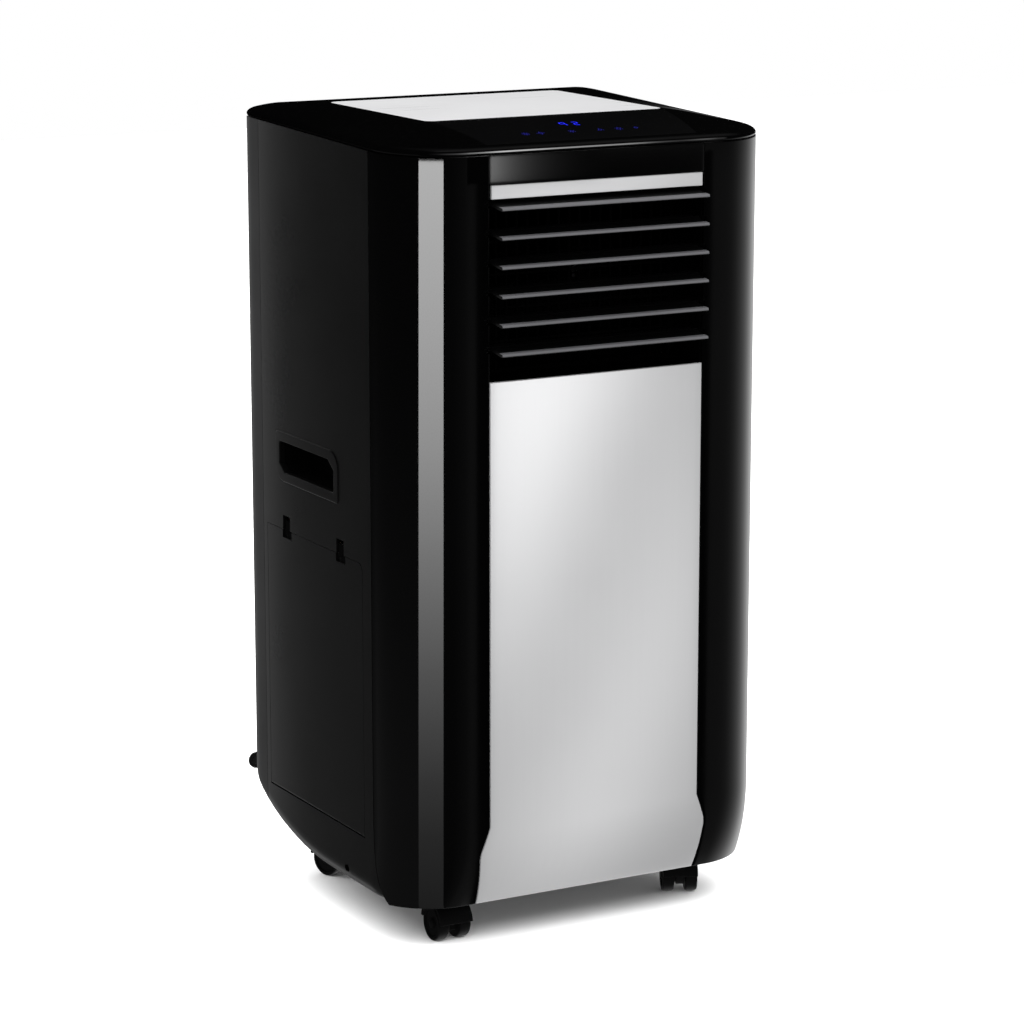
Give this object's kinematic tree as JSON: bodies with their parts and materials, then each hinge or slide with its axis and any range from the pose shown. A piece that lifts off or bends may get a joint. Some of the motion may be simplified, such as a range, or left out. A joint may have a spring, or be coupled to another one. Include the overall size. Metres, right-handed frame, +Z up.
{
  "type": "portable air conditioner",
  "caption": "Upright portable air conditioner on casters, with swinging front louvres, a hinged side filter door, a rear intake grille and a round hose collar.",
  "frame": {"origin": "on the floor under the centre of the bounding box", "axes": "+Z up, the louvred front faces -Y, +X to the right as seen from the front"},
  "size_m": [0.36, 0.3568, 0.695],
  "materials": {
    "gloss_black": "high gloss black",
    "satin_black": "satin-gloss black",
    "matte_black": "fine-grained matte black",
    "silver": "polished satin silver",
    "glass_black": "black touch glass",
    "board": "green solder mask",
    "light_plastic": "natural moulded plastic",
    "grey_plastic": "grey moulded plastic",
    "filter_mesh": "blue-grey filter mesh",
    "coil_fins": "thin bright fins",
    "copper": "drawn copper tube",
    "compressor_black": "black enamel on steel",
    "sheet_steel": "galvanised sheet",
    "steel": "bright steel",
    "rubber": "black rubber",
    "wheel_black": "hard black nylon"
  },
  "bodies": {
    "cabinet": {"base_tray": "matte_black", "front_shell": "gloss_black", "side_panel_left": "satin_black", "side_panel_right": "satin_black", "rear_cover": "matte_black", "top_cover": "gloss_black", "top_plate": "silver", "control_glass": "glass_black", "display_board": "board", "front_panel": "silver", "trim_strip": "silver", "front_band": "gloss_black", "louvre_housing": "matte_black", "swing_motor": "steel", "outlet_guard": "matte_black", "handle_left": "satin_black", "handle_right": "satin_black", "drain_pan": "light_plastic", "evaporator_coil": "coil_fins", "evaporator_scroll": "light_plastic", "evaporator_motor": "compressor_black", "condenser_coil": "coil_fins", "condenser_scroll": "grey_plastic", "condenser_motor": "compressor_black", "compressor": "compressor_black", "accumulator": "compressor_black", "compressor_grommets": "rubber", "refrigerant_pipes": "copper", "control_box": "sheet_steel", "exhaust_duct": "grey_plastic", "exhaust_collar": "matte_black", "cord_hooks": "matte_black", "cord_gland": "matte_black", "rear_screws": "steel"},
    "louvre_1": {"louvre_blade_1": "satin_black"},
    "louvre_2": {"louvre_blade_2": "satin_black"},
    "louvre_3": {"louvre_blade_3": "satin_black"},
    "louvre_4": {"louvre_blade_4": "satin_black"},
    "louvre_5": {"louvre_blade_5": "satin_black"},
    "louvre_6": {"louvre_blade_6": "satin_black"},
    "link": {"louvre_link": "light_plastic"},
    "filter_door": {"filter_door": "satin_black", "door_latches": "matte_black", "side_filter": "filter_mesh"},
    "rear_grille": {"rear_grille": "matte_black", "rear_filter": "filter_mesh"},
    "evaporator_blower": {"evaporator_wheel": "grey_plastic", "evaporator_shaft": "steel"},
    "condenser_blower": {"condenser_wheel": "grey_plastic", "condenser_shaft": "steel"},
    "lower_plug": {"drain_plug_lower": "rubber"},
    "upper_plug": {"drain_plug_upper": "rubber"},
    "caster_front_left": {"caster_front_left": "matte_black"},
    "wheels_front_left": {"wheels_front_left": "wheel_black"},
    "caster_front_right": {"caster_front_right": "matte_black"},
    "wheels_front_right": {"wheels_front_right": "wheel_black"},
    "caster_rear_left": {"caster_rear_left": "matte_black"},
    "wheels_rear_left": {"wheels_rear_left": "wheel_black"},
    "caster_rear_right": {"caster_rear_right": "matte_black"},
    "wheels_rear_right": {"wheels_rear_right": "wheel_black"}
  },
  "joints": [
    {"name": "louvre_1_swing", "type": "hinge", "parent": "cabinet", "child": "louvre_1", "pos_m": [0, -0.1545, 0.5149], "axis": [1, 0, 0], "range_deg": [-20, 72]},
    {"name": "louvre_2_swing", "type": "hinge", "parent": "cabinet", "child": "louvre_2", "pos_m": [0, -0.1545, 0.5388], "axis": [1, 0, 0], "range_deg": [-20, 72]},
    {"name": "louvre_3_swing", "type": "hinge", "parent": "cabinet", "child": "louvre_3", "pos_m": [0, -0.1545, 0.5627], "axis": [1, 0, 0], "range_deg": [-20, 72]},
    {"name": "louvre_4_swing", "type": "hinge", "parent": "cabinet", "child": "louvre_4", "pos_m": [0, -0.1545, 0.5866], "axis": [1, 0, 0], "range_deg": [-20, 72]},
    {"name": "louvre_5_swing", "type": "hinge", "parent": "cabinet", "child": "louvre_5", "pos_m": [0, -0.1545, 0.6105], "axis": [1, 0, 0], "range_deg": [-20, 72]},
    {"name": "louvre_6_swing", "type": "hinge", "parent": "cabinet", "child": "louvre_6", "pos_m": [0, -0.1545, 0.6344], "axis": [1, 0, 0], "range_deg": [-20, 72]},
    {"name": "link_pivot", "type": "hinge", "parent": "louvre_1", "child": "link", "pos_m": [0, -0.14467, 0.50802], "axis": [1, 0, 0], "range_deg": [-72, 20]},
    {"name": "filter_door_hinge", "type": "hinge", "parent": "cabinet", "child": "filter_door", "pos_m": [-0.178, 0.012, 0.091], "axis": [0, -1, 0], "range_deg": [0, 60]},
    {"name": "rear_grille_hinge", "type": "hinge", "parent": "cabinet", "child": "rear_grille", "pos_m": [0, 0.1605, 0.3746], "axis": [-1, 0, 0], "range_deg": [0, 40]},
    {"name": "evaporator_blower_spin", "type": "hinge", "parent": "cabinet", "child": "evaporator_blower", "pos_m": [0, 0.004, 0.522], "axis": [1, 0, 0], "continuous": true},
    {"name": "condenser_blower_spin", "type": "hinge", "parent": "cabinet", "child": "condenser_blower", "pos_m": [-0.022, 0, 0.196], "axis": [1, 0, 0], "continuous": true},
    {"name": "lower_plug_pull", "type": "slide", "parent": "cabinet", "child": "lower_plug", "axis": [0, 1, 0], "range_m": [0, 0.02]},
    {"name": "upper_plug_pull", "type": "slide", "parent": "cabinet", "child": "upper_plug", "axis": [0, 1, 0], "range_m": [0, 0.02]},
    {"name": "front_left_swivel", "type": "hinge", "parent": "cabinet", "child": "caster_front_left", "pos_m": [-0.119, -0.1075, 0.03], "axis": [0, 0, 1], "continuous": true},
    {"name": "front_left_roll", "type": "hinge", "parent": "caster_front_left", "child": "wheels_front_left", "pos_m": [-0.119, -0.1155, 0.015], "axis": [1, 0, 0], "continuous": true},
    {"name": "front_right_swivel", "type": "hinge", "parent": "cabinet", "child": "caster_front_right", "pos_m": [0.119, -0.1075, 0.03], "axis": [0, 0, 1], "continuous": true},
    {"name": "front_right_roll", "type": "hinge", "parent": "caster_front_right", "child": "wheels_front_right", "pos_m": [0.12238, -0.10025, 0.015], "axis": [-0.9063, 0.4226, 0], "continuous": true},
    {"name": "rear_left_swivel", "type": "hinge", "parent": "cabinet", "child": "caster_rear_left", "pos_m": [-0.119, 0.0855, 0.03], "axis": [0, 0, 1], "continuous": true},
    {"name": "rear_left_roll", "type": "hinge", "parent": "caster_rear_left", "child": "wheels_rear_left", "pos_m": [-0.12174, 0.09302, 0.015], "axis": [-0.9397, -0.342, 0], "continuous": true},
    {"name": "rear_right_swivel", "type": "hinge", "parent": "cabinet", "child": "caster_rear_right", "pos_m": [0.119, 0.0855, 0.03], "axis": [0, 0, 1], "continuous": true},
    {"name": "rear_right_roll", "type": "hinge", "parent": "caster_rear_right", "child": "wheels_rear_right", "pos_m": [0.12039, 0.09338, 0.015], "axis": [-0.9848, 0.1736, 0], "continuous": true}
  ],
  "couplings": [
    {"joint": "louvre_2_swing", "follows": "louvre_1_swing", "ratio": 1},
    {"joint": "louvre_3_swing", "follows": "louvre_1_swing", "ratio": 1},
    {"joint": "louvre_4_swing", "follows": "louvre_1_swing", "ratio": 1},
    {"joint": "louvre_5_swing", "follows": "louvre_1_swing", "ratio": 1},
    {"joint": "louvre_6_swing", "follows": "louvre_1_swing", "ratio": 1},
    {"joint": "link_pivot", "follows": "louvre_1_swing", "ratio": -1}
  ]
}
